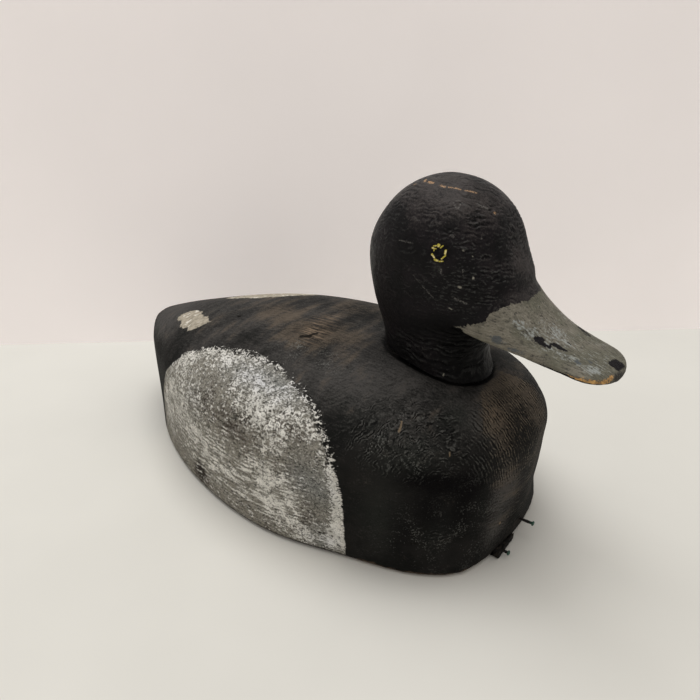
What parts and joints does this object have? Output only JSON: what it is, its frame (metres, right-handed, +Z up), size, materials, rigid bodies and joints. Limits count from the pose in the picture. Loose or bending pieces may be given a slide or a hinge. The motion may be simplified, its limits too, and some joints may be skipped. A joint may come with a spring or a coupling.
{
  "type": "carved wooden duck decoy",
  "caption": "Carved and painted wooden diving-duck decoy: rounded flat-bottomed body, upright head with a broad bill, and a line strap nailed at the bow.",
  "frame": {"origin": "a point of the flat underside, near its middle, at mount underside", "axes": "+X towards the bill, +Y to the duck's left, +Z up from the underside"},
  "size_m": [0.3282, 0.161, 0.188],
  "materials": {
    "body_paint": "worn matt black paint over rasped wood, with a mottled white flank patch",
    "head_paint": "satin black paint over rasped wood, with a grey-green bill",
    "strap_leather": "black, stiff and dirty",
    "tarnished_nail": "dark shank, green tarnished head"
  },
  "bodies": {
    "root": {"body": "body_paint", "head": "head_paint", "line_strap": "strap_leather", "strap_nail": "tarnished_nail", "bow_nail": "tarnished_nail"}
  },
  "joints": []
}
